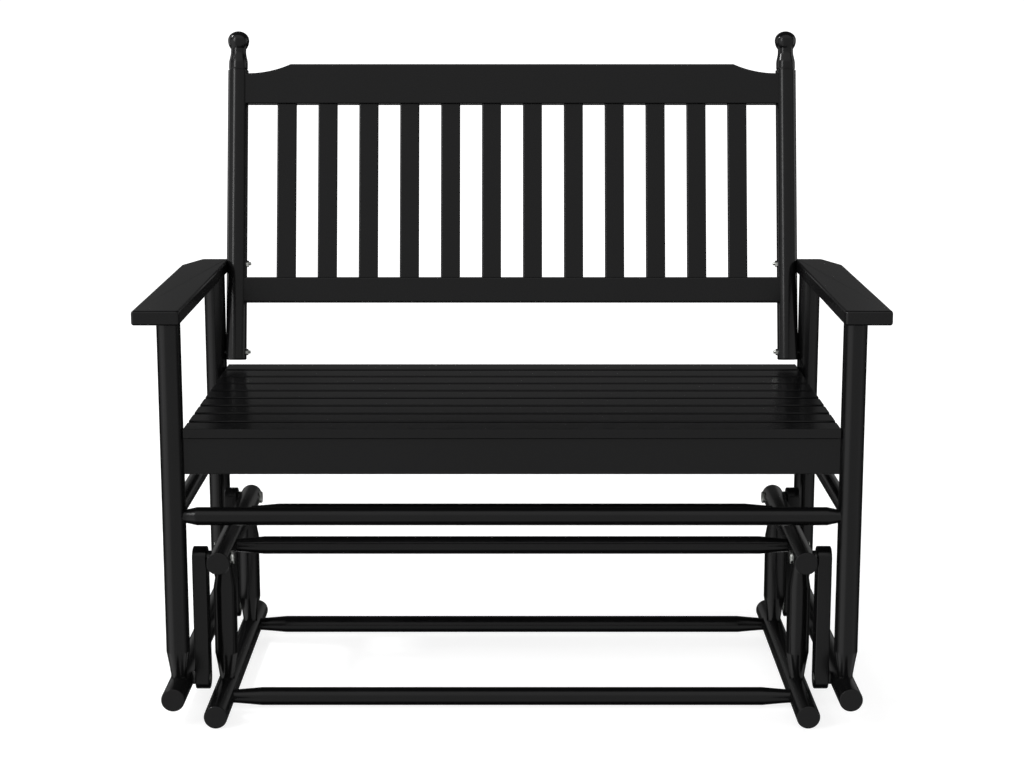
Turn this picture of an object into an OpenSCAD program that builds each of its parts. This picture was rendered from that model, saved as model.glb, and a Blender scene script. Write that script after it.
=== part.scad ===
// Two-seat glider bench of round legs, round rails and flat slats.
// The seat frame, with its back and armrests, swings to and fro on four short links inside a standing base.
// Millimetres, +X to the right, +Y to the back, +Z up. The origin is on the floor under the middle.

/* [Seat frame] */
// Distance between the axes of the left and right legs
leg_spacing = 1031; // [900:1:1400]
// Distance from the axis of a front leg to that of the rear leg
leg_reach = 465; // [430:1:540]
// Diameter of the legs, the base posts and all lengthwise rails
leg_d = 36; // [35.5:0.5:38]
// Height of the seat's top face above the floor
seat_height = 455; // [430:1:500]
// Height of the armrests' top face above the floor
arm_height = 639; // [610:1:700]
// Space between the floor and the swinging rails
rail_clearance = 26.5; // [15:0.5:40]
// How far a swinging rail runs past each leg's axis
rail_nose = 61.5; // [35:0.5:80]
// Diameter of the tapered end of a leg or base post
leg_end_d = 23.6; // [20:0.1:26]
// Length of that taper
leg_taper = 40; // [25:1:50]
// Height of the axis of the cross stretchers under the seat
cross_height = 317; // [300:1:335]
// How much higher the side stretchers lie than the cross stretchers
side_rise = 2; // [0:0.5:10]
// Diameter of the side stretchers
side_d = 26; // [24:0.5:30]
// Diameter of the cross stretchers
stretcher_d = 28; // [24:0.5:30]
// Diameter of the tapered end of any stretcher
stretcher_end_d = 21; // [14:0.5:21.5]
// Length of the taper on the seat frame's stretchers
seat_taper = 17; // [15:1:60]
// Length of the taper on the base's stretchers
base_taper = 42; // [20:1:60]
// Fullness of all tapers, where 1 gives a straight cone
taper_bulge = 1.15; // [1:0.05:1.5]

/* [Base] */
// Distance from a link's lower pivot to its upper pivot
link_pivots = 196.5; // [180:0.5:210]
// Distance from the front links' pivots to the rear links' pivots
pivot_reach = 347.5; // [320:0.5:370]
// How far the front pivots stand behind the front legs' axes
pivot_inset = 37.5; // [24:0.5:45]
// How far a hanger rail runs before the front pivot
hanger_nose_front = 37.5; // [18:0.5:45]
// How far a hanger rail runs behind the rear pivot
hanger_nose_rear = 18; // [16:0.5:30]
// Distance from the front pivots back to the front base posts
stand_inset_front = 32; // [28:0.5:50]
// Distance from the rear base posts back to the rear pivots
stand_inset_rear = 36.5; // [28:0.5:50]
// How far a runner reaches before the front base post's axis
runner_front = 133; // [110:0.5:140]
// How far a runner reaches behind the rear base post's axis
runner_rear = 100; // [60:0.5:110]
// Distance from the front base posts forward to the lower front stretcher
low_front = 42.5; // [26:0.5:60]
// Distance from the rear base posts back to the lower rear stretcher
low_rear = 21; // [20:0.5:50]
// Distance from the front base posts back to the upper front stretcher
high_front = 31.5; // [26:0.5:80]
// Distance from the rear base posts forward to the upper rear stretcher
high_rear = 55.5; // [26:0.5:80]

/* [Links and pivots] */
// Thickness of a link
link_t = 22; // [18:0.5:26]
// Width of a link, which is also the diameter of its round ends
link_w = 34; // [30:0.5:40]
// Free space between a link and the rail on each side of it
link_gap = 3.2; // [2.5:0.1:5]
// Diameter of the pivot bolts' shanks
pivot_d = 8; // [6:0.5:10]
// Outer diameter of the bushes in the links
bush_d = 12; // [11:0.5:16]
// Diameter of the bushes' flanges
flange_d = 20; // [18:0.5:22]
// Running clearance round a pivot bolt, on the radius
run_gap = 0.05; // [0.03:0.01:0.1]
// Clearance on the radius at the lower pivots of the links that only follow
follow_gap = 0.3; // [0.2:0.05:0.5]
// Diameter of the pivot bolts' flat heads
head_d = 20; // [16:0.5:22]
// Thickness of those heads
head_t = 5.5; // [4:0.1:6]
// Radius of the rounded edge of a head
head_edge = 1; // [0.5:0.1:1.5]
// Width of the hexagon socket in a head
socket_w = 6; // [4:0.5:8]
// Depth of that socket
socket_deep = 3.3; // [2:0.1:3.5]
// Diameter of the flat nut sunk in a link
link_nut_d = 17; // [14:0.5:20]
// Thickness of that nut
link_nut_t = 5; // [4:0.1:6]
// Space round that nut
link_nut_space = 1; // [0.5:0.1:1.5]

/* [Seat] */
// Width of a seat slat, from front to back
slat_w = 45; // [40:1:50]
// Thickness of a seat slat
slat_t = 15; // [12:0.5:20]
// Smallest gap between two seat slats
slat_gap_least = 9.5; // [6:0.5:12]
// How far the front slat reaches before the front legs' axes
seat_front = 8; // [0:0.5:14]
// How far the rear slat reaches behind the rear legs' axes
seat_rear = 20; // [0:0.5:22]
// Height of the aprons under the front and rear slats
apron_h = 57; // [45:0.5:70]
// Thickness of the aprons
apron_t = 18; // [15:0.5:20]
// How far an apron's outer face stands outside the legs' axes
apron_out = 2; // [0:0.5:6]
// Height of the bearers under the slats
bearer_h = 42; // [30:0.5:44]
// Thickness of the bearers
bearer_t = 22; // [16:0.5:30]

/* [Armrests] */
// Thickness of an armrest
arm_t = 22.5; // [21:0.5:26]
// Width of an armrest
arm_w = 72; // [65:0.5:85]
// How far an armrest's inner edge reaches past the legs' inner side
arm_inner = 2.5; // [1:0.5:4]
// How far an armrest reaches before the front leg's axis
arm_front = 25; // [22:0.5:40]
// How far an armrest reaches behind the rear leg's axis
arm_rear = 40; // [34:0.5:44]
// Length of the slanted cut at an armrest's outer rear corner
arm_cut_l = 70; // [30:1:90]
// Width of that cut
arm_cut_w = 25; // [10:1:30]
// Radius of an armrest's inner front corner
arm_round_inner = 7; // [3:0.5:12]
// Radius of its outer front corner
arm_round_outer = 4; // [3:0.5:12]
// Radius of the corner where the slanted cut starts
arm_round_cut = 12; // [3:0.5:20]
// Radius of its outer rear corner
arm_round_rear = 8; // [3:0.5:12]
// Radius of its rear corner beside the post
arm_round_post = 3; // [2:0.5:6]
// Diameter of the pins on the legs' tops, which hold the armrest
arm_pin_d = 20; // [14:0.5:24]
// Length of those pins
arm_pin_l = 12; // [8:0.5:14]

/* [Back] */
// Lean of the back from upright, in degrees
lean = 13; // [8:0.5:14]
// Diameter of the leaning posts
post_d = 35.5; // [34:0.5:38]
// Distance from the rear leg's axis forward to the axis of the post at its foot
post_foot = 9; // [6:0.5:12]
// Space between the seat and the foot of a post
post_lift = 13.5; // [10:0.5:20]
// Length of a post from its foot to the groove under its finial
post_length = 508.5; // [450:0.5:600]
// Width of that groove
groove_w = 3.6; // [2:0.1:5]
// Depth of that groove
groove_deep = 2; // [1:0.1:3]
// How much narrower a finial's foot is than the post, on the radius
finial_step = 1.3; // [0.5:0.1:2]
// Length of a finial's plain foot
finial_foot = 10.3; // [6:0.1:12]
// Width of a finial's ball
ball_d = 37.3; // [34:0.1:42]
// Height of the upper part of the ball, over its widest place
ball_up = 16; // [14:0.5:20]
// Height of the lower part of the ball, down to the neck
ball_low = 15; // [12:0.5:16]
// Diameter of a finial's neck
neck_d = 26.8; // [22:0.1:27]
// Length of the straight part of that neck
neck_l = 5.6; // [2:0.1:8]
// Length from the groove to the widest place of the ball
finial_l = 51.5; // [48:0.5:60]
// Distance along the post from its upper stud down to the lower back rail
low_rail_drop = 23.7; // [18:0.05:40]
// Height of the lower back rail
low_rail_h = 44; // [35:0.5:60]
// Distance along the post from the groove down to the crest rail
crest_drop = 7.5; // [4:0.5:30]
// Height of the crest rail at its ends
crest_end_h = 54; // [45:0.5:56]
// Height of the crest rail over its middle
crest_h = 70; // [62:0.5:90]
// Radius of the hollow curves in the crest rail's top
crest_r = 181; // [120:1:240]
// Thickness of the crest rail and the lower back rail
back_rail_t = 22; // [18:0.5:26]
// Width of a back slat
back_slat_w = 33.5; // [25:0.5:45]
// Thickness of a back slat
back_slat_t = 12; // [9:0.5:15]
// Free space between a post and the first back slat
back_end_gap = 51.5; // [40:0.5:60]
// Height of a post's upper stud above the armrest's underside
stud_up = 15; // [9:0.5:16]
// Height of a post's lower stud above the foot of the post
stud_low = 13; // [9:0.5:20]
// Diameter of the studs
stud_d = 6; // [5:0.5:8]
// Width across the flats of the studs' nuts
stud_nut_w = 10; // [9:0.5:13]
// Thickness of those nuts
stud_nut_t = 4; // [3:0.1:5]
// How far a stud's tip stands out of its nut
stud_tip = 4; // [1:0.5:5]
// Depth to which a stud goes into the armrest or the leg
stud_grip = 24; // [15:1:28]

/* [Joinery] */
// Depth of the holes and housings that hold the ends of the pieces
socket_l = 7; // [5:0.5:7]
// Space round an end in its hole or housing
fit = 0.1; // [0.05:0.01:0.2]
// Space beyond an end in its hole or housing
end_space = 0.2; // [0.1:0.05:0.4]
// Radius of the rounded edges of the boards
edge = 3; // [1:0.5:4]
// Radius of the rounded edges at the ends of the round rails
end_edge = 2; // [0.5:0.5:3]

/* [Hidden] */
$fn = 96;
paint = [0.13, 0.13, 0.135];
zinc = [0.72, 0.73, 0.74];
nylon = [0.1, 0.1, 0.1];
sides = ["left", "right"];
ends = ["front", "rear"];
back_slat_count = 12;

// How far a cutting shape reaches past what it cuts
past = 1;
// Straight pieces in a long curve
steps_long = 12;

leg_r = leg_d / 2;
leg_x = leg_spacing / 2;
leg_in_x = leg_x - leg_r;
swing_z = rail_clearance + leg_r;
hanger_z = swing_z + link_pivots;
link_x = leg_in_x - link_gap - link_t / 2;
base_x = link_x - link_t / 2 - link_gap - leg_r;
base_in_x = base_x - leg_r;
post_r = post_d / 2;
post_x = leg_in_x - post_r - end_space;
post_in_x = post_x - post_r;
foot_z = seat_height + post_lift;
ball_at = post_length + finial_l;
front_reach = max(rail_nose, runner_front - stand_inset_front - pivot_inset);
rear_reach = leg_reach - post_foot + ball_at * sin(lean) + ball_d / 2;
front_y = (front_reach - rear_reach) / 2;
rear_y = front_y + leg_reach;
foot_y = rear_y - post_foot;
pivot_front_y = front_y + pivot_inset;
pivot_rear_y = pivot_front_y + pivot_reach;
grip = socket_l - end_space;
stand_front_y = pivot_front_y + stand_inset_front;
stand_rear_y = pivot_rear_y - stand_inset_rear;
low_stretcher_y = [stand_front_y - low_front, stand_rear_y + low_rear];
high_stretcher_y = [stand_front_y + high_front, stand_rear_y - high_rear];
side_height = cross_height + side_rise;

slat_half = leg_in_x - end_space;
slat_under = seat_height - slat_t;
seat_depth = seat_front + leg_reach + seat_rear;
slat_count = floor((seat_depth + slat_gap_least) / (slat_w + slat_gap_least));
slat_pitch = (seat_depth - slat_w) / (slat_count - 1);
bearer_side_x = slat_half - bearer_t / 2;

arm_under = arm_height - arm_t;
arm_in_x = leg_in_x - arm_inner;
arm_out_x = arm_in_x + arm_w;
stud_high_z = arm_under + stud_up;
stud_low_z = foot_z + stud_low;
stud_end_x = leg_in_x + stud_grip;
stud_nut_d = stud_nut_w / cos(30);
first_slat_x = back_end_gap + back_slat_w / 2 - post_in_x;
back_pitch = -2 * first_slat_x / (back_slat_count - 1);
back_slat_from = (stud_high_z - foot_z) / cos(lean) - low_rail_drop;
low_rail_at = back_slat_from - low_rail_h;
crest_at = post_length - crest_drop - crest_end_h;
back_slat_l = crest_at - back_slat_from;
back_slat_mid = (crest_at + back_slat_from) / 2;

function leg_y(end) = end == "front" ? front_y : rear_y;
function pivot_y(end) = end == "front" ? pivot_front_y : pivot_rear_y;
function stand_y(end) = end == "front" ? stand_front_y : stand_rear_y;
function stretcher_y(end, pair) = end == "front" ? pair[0] : pair[1];
function apron_y(end) = end == "front" ? front_y - apron_out : rear_y + apron_out - apron_t;
function stud_y(z) = foot_y + (z - foot_z) * tan(lean);

// Depth at which a round bar of diameter d is w wide
function flat_depth(w, d) = (d - sqrt(d * d - w * w)) / 2;

leg_sink = flat_depth(leg_end_d, leg_d);
head_sink = flat_depth(head_d, leg_d);
flange_sink = flat_depth(flange_d, leg_d);
flange_t = link_gap + flange_sink - end_space;
nut_sink = link_nut_t + end_space;
swing_head_sink = head_t + end_space;
stud_nut_sink = flat_depth(stud_nut_d + 2 * end_space, post_d);

// Points of an arc about (cx, cy) from angle a to angle b
function arc(cx, cy, r, a, b, steps = 5) =
    [for (i = [0:steps]) let (t = a + (b - a) * i / steps) [cx + r * cos(t), cy + r * sin(t)]];

// Corner points of a w by h rectangle with rounded corners, centred
function soft_rect(w, h, r) = concat(
    arc(w / 2 - r, h / 2 - r, r, 0, 90),
    arc(r - w / 2, h / 2 - r, r, 90, 180),
    arc(r - w / 2, r - h / 2, r, 180, 270),
    arc(w / 2 - r, r - h / 2, r, 270, 360)
);

// Points that round the corner p between its neighbours a and b to radius r
function soft_corner(a, p, b, r) =
    let (
        u = (a - p) / norm(a - p),
        w = (b - p) / norm(b - p),
        half = acos(u * w) / 2,
        centre = p + (u + w) / norm(u + w) * r / sin(half),
        from = p + u * r / tan(half) - centre,
        to = p + w * r / tan(half) - centre,
        start = atan2(from[1], from[0]),
        turn = (atan2(to[1], to[0]) - start + 360 + 180) % 360 - 180
    )
    arc(centre[0], centre[1], r, start, start + turn);

// Outline whose corners are rounded, each to its own radius
function soft_outline(points, radii) =
    let (n = len(points))
    [for (i = [0:n - 1]) let (before = points[(i + n - 1) % n], after = points[(i + 1) % n])
        each soft_corner(before, points[i], after, radii[i])];

function reversed(points) = [for (i = [len(points) - 1:-1:0]) points[i]];

// Half outline of a tapered end that starts at z0 with radius r0 and reaches radius r1 at z1
function taper(r0, r1, z0, z1, steps = 5) =
    [for (i = [0:steps]) let (t = i / steps)
        [r1 + (r0 - r1) * pow(1 - t, taper_bulge), z0 + (z1 - z0) * t]];

// Draws its children on the right, or mirrored on the left
module on_side(side) {
    if (side == "left") mirror([1, 0, 0]) children();
    else children();
}

// Puts its children at the foot of the posts, leaning with the back
module on_back() {
    translate([0, foot_y, foot_z]) rotate([-lean, 0, 0]) children();
}

// Board with rounded long edges, its length along X and its middle at the origin
module board(length, depth, height) {
    rotate([90, 0, 90])
        translate([0, 0, -length / 2])
            linear_extrude(length) polygon(soft_rect(depth, height, edge));
}

// Round rail along Y from y0 to y1
module round_rail(y0, y1) {
    l = y1 - y0;
    shoulder = leg_r - end_edge;
    outline = concat(
        [[0, 0]],
        arc(shoulder, end_edge, end_edge, -90, 0),
        arc(shoulder, l - end_edge, end_edge, 0, 90),
        [[0, l]]
    );
    translate([0, y0, 0]) rotate([-90, 0, 0]) rotate_extrude() polygon(outline);
}

// Round bar along Z with its middle at the origin: both ends taper, then go on into their holes
module spindle(span, d, end_d, taper_l, sink = 0) {
    half = span / 2;
    end_r = end_d / 2;
    tip = half + sink + grip;
    top = concat(taper(d / 2, end_r, half - taper_l, half), [[end_r, tip], [0, tip]]);
    bottom = reversed([for (p = top) [p[0], -p[1]]]);
    rotate_extrude() polygon(concat(bottom, top));
}

// Hole for a spindle's end, from outside the surface at the origin into the wood along +Z
module spindle_hole(end_d, sink = 0) {
    translate([0, 0, -leg_r]) cylinder(h = leg_r + sink + socket_l, d = end_d + 2 * fit);
}

// Cuts a round rail at the origin for a pivot bolt along Z: a flat for its head below, one for a bush above
module bolt_holes(head_flat, bush_flat) {
    cylinder(h = 2 * leg_d, d = pivot_d + 2 * run_gap, center = true);
    translate([0, 0, -leg_d - head_flat]) cylinder(h = leg_d, d = head_d + 2 * fit);
    translate([0, 0, bush_flat]) cylinder(h = leg_d, d = flange_d + 2 * fit);
}

// Pivot bolt along Z with its head's seat at the origin, and the flat nut at the shank's end
module pivot_bolt(shank_l) {
    difference() {
        union() {
            translate([0, 0, -head_t]) rotate_extrude() polygon(concat(
                [[0, 0]],
                arc(head_d / 2 - head_edge, head_edge, head_edge, -90, 0),
                [[head_d / 2, head_t], [0, head_t]]
            ));
            cylinder(h = shank_l, d = pivot_d);
        }
        translate([0, 0, -head_t - past]) cylinder(h = past + socket_deep, d = socket_w / cos(30), $fn = 6);
    }
    translate([0, 0, shank_l - link_nut_t])
        difference() {
            cylinder(h = link_nut_t, d = link_nut_d);
            translate([0, 0, -past]) cylinder(h = link_nut_t + 2 * past, d = pivot_d + 2 * run_gap);
        }
}

// Standing base

module runner(side) {
    color(paint) on_side(side) difference() {
        translate([base_x, 0, leg_r]) round_rail(stand_front_y - runner_front, stand_rear_y + runner_rear);
        for (end = ends)
            translate([base_x, stand_y(end), leg_d]) mirror([0, 0, 1]) spindle_hole(leg_end_d, leg_sink);
        for (y = low_stretcher_y)
            translate([base_in_x, y, leg_r]) rotate([0, 90, 0]) spindle_hole(stretcher_end_d);
    }
}

module hanger_rail(side) {
    color(paint) on_side(side) difference() {
        translate([base_x, 0, hanger_z])
            round_rail(pivot_front_y - hanger_nose_front, pivot_rear_y + hanger_nose_rear);
        for (end = ends)
            translate([base_x, stand_y(end), hanger_z - leg_r]) spindle_hole(leg_end_d, leg_sink);
        for (y = high_stretcher_y)
            translate([base_in_x, y, hanger_z]) rotate([0, 90, 0]) spindle_hole(stretcher_end_d);
        for (end = ends)
            translate([base_x, pivot_y(end), hanger_z]) rotate([0, 90, 0])
                bolt_holes(leg_r - head_sink, leg_r - flange_sink);
    }
}

module base_post(end, side) {
    low = leg_d;
    high = hanger_z - leg_r;
    color(paint) on_side(side) translate([base_x, stand_y(end), (low + high) / 2])
        spindle(high - low, leg_d, leg_end_d, leg_taper, leg_sink);
}

module lower_stretcher(end) {
    color(paint) translate([0, stretcher_y(end, low_stretcher_y), leg_r])
        rotate([0, 90, 0]) spindle(2 * base_in_x, stretcher_d, stretcher_end_d, base_taper);
}

module upper_stretcher(end) {
    color(paint) translate([0, stretcher_y(end, high_stretcher_y), hanger_z])
        rotate([0, 90, 0]) spindle(2 * base_in_x, stretcher_d, stretcher_end_d, base_taper);
}

// The head sits on the hanger rail's inner side, and the nut is sunk in the link's outer side
module hanger_bolts() {
    seat_x = base_in_x + head_sink;
    end_x = link_x + link_t / 2;
    color(zinc) for (side = sides, end = ends) on_side(side)
        translate([seat_x, pivot_y(end), hanger_z]) rotate([0, 90, 0]) pivot_bolt(end_x - seat_x);
}

// Links

// Flat bar with round ends, bored for a bush at each pivot and sunk for a nut on one side of each
module link(end, side) {
    nut_d = link_nut_d + 2 * link_nut_space;
    color(paint) on_side(side) translate([link_x, pivot_y(end), swing_z]) difference() {
        union() {
            for (z = [0, link_pivots])
                translate([-link_t / 2, 0, z]) rotate([0, 90, 0]) cylinder(h = link_t, d = link_w);
            translate([-link_t / 2, -link_w / 2, 0]) cube([link_t, link_w, link_pivots]);
        }
        for (z = [0, link_pivots])
            translate([-link_t, 0, z]) rotate([0, 90, 0])
                cylinder(h = 2 * link_t, d = bush_d + 2 * run_gap);
        translate([nut_sink - link_t / 2, 0, 0]) rotate([0, -90, 0]) cylinder(h = link_t, d = nut_d);
        translate([link_t / 2 - nut_sink, 0, link_pivots])
            rotate([0, 90, 0]) cylinder(h = link_t, d = nut_d);
    }
}

// Flanged bush along Z: its sleeve starts at the origin and its flange bears on the rail
module bush(bore_gap) {
    sleeve_l = link_t - nut_sink;
    difference() {
        union() {
            cylinder(h = sleeve_l, d = bush_d);
            translate([0, 0, sleeve_l]) cylinder(h = flange_t, d = flange_d);
        }
        translate([0, 0, -past]) cylinder(h = sleeve_l + flange_t + 2 * past, d = pivot_d + 2 * bore_gap);
    }
}

// The rear left link's lower bush fits its bolt, and the other three lower bushes have a wider clearance
module link_bushes(end, side) {
    low_gap = end == "rear" && side == "left" ? run_gap : follow_gap;
    color(nylon) on_side(side) translate([link_x, pivot_y(end), swing_z]) {
        translate([nut_sink - link_t / 2, 0, 0]) rotate([0, 90, 0]) bush(low_gap);
        translate([link_t / 2 - nut_sink, 0, link_pivots]) rotate([0, -90, 0]) bush(run_gap);
    }
}

// Seat frame

module swing_rail(side) {
    color(paint) on_side(side) difference() {
        translate([leg_x, 0, swing_z]) round_rail(front_y - rail_nose, rear_y + rail_nose);
        for (end = ends)
            translate([leg_x, leg_y(end), swing_z + leg_r])
                mirror([0, 0, 1]) spindle_hole(leg_end_d, leg_sink);
        for (end = ends)
            translate([leg_x, pivot_y(end), swing_z]) rotate([0, -90, 0])
                bolt_holes(leg_r - swing_head_sink, leg_r - flange_sink);
    }
}

// The head is sunk in the swinging rail's outer side, and the nut in the link's inner side
module swing_bolts() {
    seat_x = leg_x + leg_r - swing_head_sink;
    end_x = link_x - link_t / 2;
    color(zinc) for (side = sides, end = ends) on_side(side)
        translate([seat_x, pivot_y(end), swing_z]) rotate([0, -90, 0]) pivot_bolt(seat_x - end_x);
}

module leg(end, side) {
    inward = end == "front" ? 1 : -1;
    low = swing_z + leg_r;
    foot = low - leg_sink - grip;
    end_r = leg_end_d / 2;
    pin_r = arm_pin_d / 2;
    pin_top = arm_under + arm_pin_l;
    outline = concat(
        [[0, foot], [end_r, foot]],
        reversed(taper(leg_r, end_r, low + leg_taper, low)),
        [[leg_r, arm_under], [pin_r, arm_under], [pin_r, pin_top], [0, pin_top]]
    );
    color(paint) on_side(side) difference() {
        translate([leg_x, leg_y(end), 0]) rotate_extrude() polygon(outline);
        translate([leg_in_x, leg_y(end), cross_height]) rotate([0, 90, 0]) spindle_hole(stretcher_end_d);
        translate([leg_x, leg_y(end) + inward * leg_r, side_height])
            rotate([inward * 90, 0, 0]) spindle_hole(stretcher_end_d);
        translate([leg_in_x - leg_r, apron_y(end) - fit, slat_under - apron_h - fit])
            cube([leg_r + socket_l, apron_t + 2 * fit, apron_h + 2 * fit]);
        if (end == "rear") stud_hole(stud_low_z);
    }
}

module side_stretcher(side) {
    color(paint) on_side(side) translate([leg_x, (front_y + rear_y) / 2, side_height])
        rotate([90, 0, 0]) spindle(leg_reach - leg_d, side_d, stretcher_end_d, seat_taper);
}

module seat_stretcher(end) {
    color(paint) translate([0, leg_y(end), cross_height])
        rotate([0, 90, 0]) spindle(2 * leg_in_x, stretcher_d, stretcher_end_d, seat_taper);
}

// Bar along Y from one apron to the other, grown by the given space on each side and end
module bearer_bar(x, space, end_l) {
    from = apron_y("front") + apron_t - end_l;
    to = apron_y("rear") + end_l;
    translate([x - bearer_t / 2 - space, from, slat_under - bearer_h - space])
        cube([bearer_t + 2 * space, to - from, bearer_h + 2 * space]);
}

module bearer(x) {
    color(paint) bearer_bar(x, 0, grip);
}

module apron(end) {
    color(paint) difference() {
        translate([0, apron_y(end) + apron_t / 2, slat_under - apron_h / 2])
            board(2 * (leg_in_x + grip), apron_t, apron_h);
        for (x = [-bearer_side_x, 0, bearer_side_x]) bearer_bar(x, fit, socket_l);
    }
}

// Seat slats from first to last, counted from 0 at the front
module seat_slats(first, last) {
    color(paint) for (i = [first:last])
        translate([0, front_y - seat_front + slat_w / 2 + i * slat_pitch, seat_height - slat_t / 2])
            board(2 * slat_half, slat_w, slat_t);
}

module armrest(side) {
    from = front_y - arm_front;
    to = rear_y + arm_rear;
    plan = soft_outline(
        [
            [arm_in_x, from], [arm_out_x, from], [arm_out_x, to - arm_cut_l],
            [arm_out_x - arm_cut_w, to], [arm_in_x, to]
        ],
        [arm_round_inner, arm_round_outer, arm_round_cut, arm_round_rear, arm_round_post]
    );
    middle = [(arm_in_x + arm_out_x) / 2, (from + to) / 2, arm_under + arm_t / 2];
    color(paint) on_side(side) difference() {
        intersection() {
            translate([0, 0, arm_under]) linear_extrude(arm_t) polygon(plan);
            translate(middle) board(2 * arm_w, to - from, arm_t);
            translate(middle) rotate([0, 0, 90]) board(2 * (to - from), arm_w, arm_t);
        }
        for (end = ends)
            translate([leg_x, leg_y(end), arm_under - arm_t])
                cylinder(h = arm_t + arm_pin_l + end_space, d = arm_pin_d + 2 * fit);
        on_back() translate([post_x, 0, 0]) cylinder(h = post_length, d = post_d + 2 * fit);
        stud_hole(stud_high_z);
    }
}

// Hole for a stud in the armrest or the leg beside the post
module stud_hole(z) {
    translate([post_x, stud_y(z), z]) rotate([0, 90, 0])
        cylinder(h = stud_end_x + end_space - post_x, d = stud_d + 2 * run_gap);
}

// Half outline of a post from its foot to the top of its finial
function post_outline() =
    let (
        groove_r = post_r - groove_deep,
        foot_r = post_r - finial_step,
        curve_from = post_length + finial_foot,
        curve_l = finial_l - finial_foot - neck_l - ball_low,
        neck_r = neck_d / 2,
        ball_r = ball_d / 2,
        neck_turn = acos(neck_r / ball_r),
        low_r = ball_low / sin(neck_turn)
    )
    concat(
        [[0, 0]],
        arc(post_r - end_edge, end_edge, end_edge, -90, 0),
        [[post_r, post_length - groove_w / 2], [groove_r, post_length - groove_w / 6]],
        [[groove_r, post_length + groove_w / 6], [foot_r, post_length + groove_w / 2]],
        [for (i = [0:steps_long]) let (t = i / steps_long)
            [foot_r + (neck_r - foot_r) * (1 - cos(180 * t)) / 2, curve_from + curve_l * t]],
        [for (i = [0:steps_long]) let (turn = neck_turn * (i / steps_long - 1))
            [ball_r * cos(turn), ball_at + low_r * sin(turn)]],
        [for (i = [1:steps_long]) let (turn = 90 * i / steps_long)
            [i < steps_long ? ball_r * cos(turn) : 0, ball_at + ball_up * sin(turn)]]
    );

module back_post(side) {
    color(paint) on_side(side) difference() {
        on_back() translate([post_x, 0, 0]) rotate_extrude() polygon(post_outline());
        on_back() rail_housing(low_rail_at, low_rail_h);
        on_back() rail_housing(crest_at, crest_end_h);
        for (z = [stud_low_z, stud_high_z]) {
            translate([post_in_x - post_r, stud_y(z), z]) rotate([0, 90, 0])
                cylinder(h = post_r + stud_nut_sink, d = stud_nut_d + 2 * end_space);
            translate([post_in_x - post_r, stud_y(z), z]) rotate([0, 90, 0])
                cylinder(h = 3 * post_d, d = stud_d + 2 * run_gap);
        }
    }
}

// Space in a post for the end of a back rail
module rail_housing(at, h) {
    translate([post_in_x - post_r, -back_rail_t / 2 - fit, at - fit])
        cube([post_r + socket_l, back_rail_t + 2 * fit, h + 2 * fit]);
}

// Spaces for the ends of the back slats
module slat_housings() {
    for (i = [0:back_slat_count - 1])
        translate([first_slat_x + i * back_pitch, 0, back_slat_mid])
            cube([back_slat_w + 2 * fit, back_slat_t + 2 * fit, back_slat_l + 2 * socket_l], center = true);
}

module lower_back_rail() {
    color(paint) on_back() difference() {
        translate([0, 0, low_rail_at + low_rail_h / 2])
            board(2 * (post_in_x + grip), back_rail_t, low_rail_h);
        slat_housings();
    }
}

// Half of the crest rail's top edge, from its flat middle down the hollow curve to the post and on into it
function crest_edge() =
    let (turn = acos(1 - (crest_h - crest_end_h) / crest_r))
    concat(
        arc(post_in_x, crest_end_h + crest_r, crest_r, -90 - turn, -90, steps_long),
        [[post_in_x + grip, crest_end_h]]
    );

module crest_rail() {
    half = crest_edge();
    outline = concat(
        half,
        [[post_in_x + grip, 0], [-post_in_x - grip, 0]],
        reversed([for (p = half) [-p[0], p[1]]])
    );
    color(paint) on_back() difference() {
        translate([0, 0, crest_at]) intersection() {
            rotate([90, 0, 0])
                translate([0, 0, -back_rail_t / 2]) linear_extrude(back_rail_t) polygon(outline);
            translate([0, 0, crest_h / 2]) board(2 * leg_x, back_rail_t, crest_h);
        }
        slat_housings();
    }
}

module back_slat(number) {
    color(paint) on_back()
        translate([first_slat_x + (number - 1) * back_pitch, 0, back_slat_mid])
            rotate([0, 90, 0]) board(back_slat_l + 2 * grip, back_slat_t, back_slat_w);
}

// Each stud runs from the armrest or the rear leg through the post to a nut on the post's inner side
module post_studs() {
    nut_x = post_in_x + stud_nut_sink - stud_nut_t;
    tip_x = nut_x - stud_tip;
    color(zinc) for (side = sides, z = [stud_low_z, stud_high_z]) on_side(side) {
        translate([tip_x, stud_y(z), z]) rotate([0, 90, 0]) cylinder(h = stud_end_x - tip_x, d = stud_d);
        translate([nut_x, stud_y(z), z]) rotate([0, 90, 0]) difference() {
            cylinder(h = stud_nut_t, d = stud_nut_d, $fn = 6);
            translate([0, 0, -past]) cylinder(h = stud_nut_t + 2 * past, d = stud_d + 2 * run_gap);
        }
    }
}

for (side = sides) {
    runner(side);
    hanger_rail(side);
    swing_rail(side);
    side_stretcher(side);
    armrest(side);
    back_post(side);
    for (end = ends) {
        base_post(end, side);
        leg(end, side);
        link(end, side);
        link_bushes(end, side);
    }
}
for (end = ends) {
    lower_stretcher(end);
    upper_stretcher(end);
    seat_stretcher(end);
    apron(end);
}
for (i = [1:back_slat_count])
    back_slat(i);
hanger_bolts();
swing_bolts();
post_studs();
bearer(-bearer_side_x);  // bearer_left
bearer(0);  // bearer_middle
bearer(bearer_side_x);  // bearer_right
seat_slats(0, 0);  // seat_slat_front
seat_slats(1, slat_count - 2);  // seat_slats_middle
seat_slats(slat_count - 1, slat_count - 1);  // seat_slat_rear
lower_back_rail();
crest_rail();
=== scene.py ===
# Glider bench: a seat frame with back and armrests hangs on four links inside a standing base.
import math

import bmesh
import bpy
from mathutils import Matrix, Vector


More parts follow.
